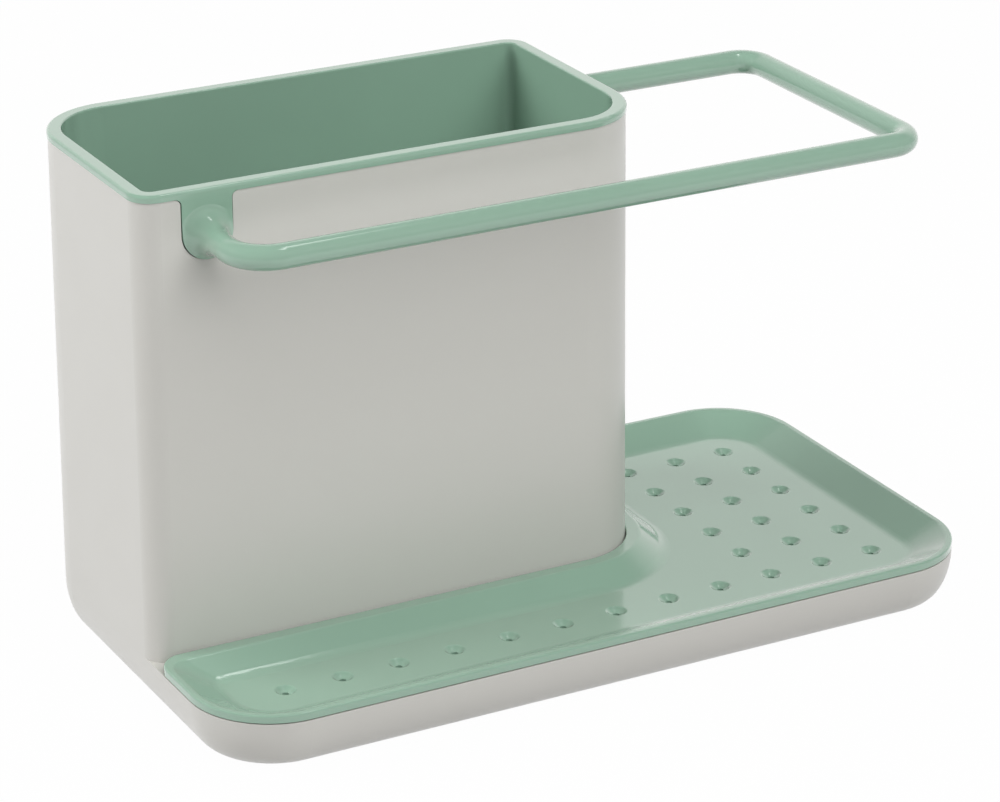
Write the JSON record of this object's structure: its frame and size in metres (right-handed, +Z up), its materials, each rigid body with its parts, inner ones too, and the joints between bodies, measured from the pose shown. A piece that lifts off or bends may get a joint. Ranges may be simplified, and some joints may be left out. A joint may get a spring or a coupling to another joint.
{
  "type": "kitchen sink caddy",
  "caption": "Kitchen sink caddy: a tall utensil pot with a lift-out liner and towel rail, and a low dished drip tray with drain holes round its foot.",
  "frame": {"origin": "middle of the footprint at the table, under the feet", "axes": "+X along the caddy's length towards the drip tray's wide end, +Y towards the flat back, +Z up"},
  "size_m": [0.205, 0.1102, 0.1276],
  "materials": {
    "body_plastic": "satin warm light grey",
    "green_plastic": "semi-gloss sage green",
    "foot_rubber": "matt grey"
  },
  "bodies": {
    "base": {"body": "body_plastic", "foot_front_left": "foot_rubber", "foot_front_right": "foot_rubber", "foot_back_left": "foot_rubber", "foot_back_right": "foot_rubber"},
    "liner": {"liner": "green_plastic"},
    "tray": {"drip_tray": "green_plastic"}
  },
  "joints": [
    {"name": "liner_lift", "type": "slide", "parent": "base", "child": "liner", "axis": [0, 0, 1], "range_m": [0, 0.13]},
    {"name": "tray_lift", "type": "slide", "parent": "base", "child": "tray", "axis": [0, 0, 1], "range_m": [0, 0.06]}
  ]
}
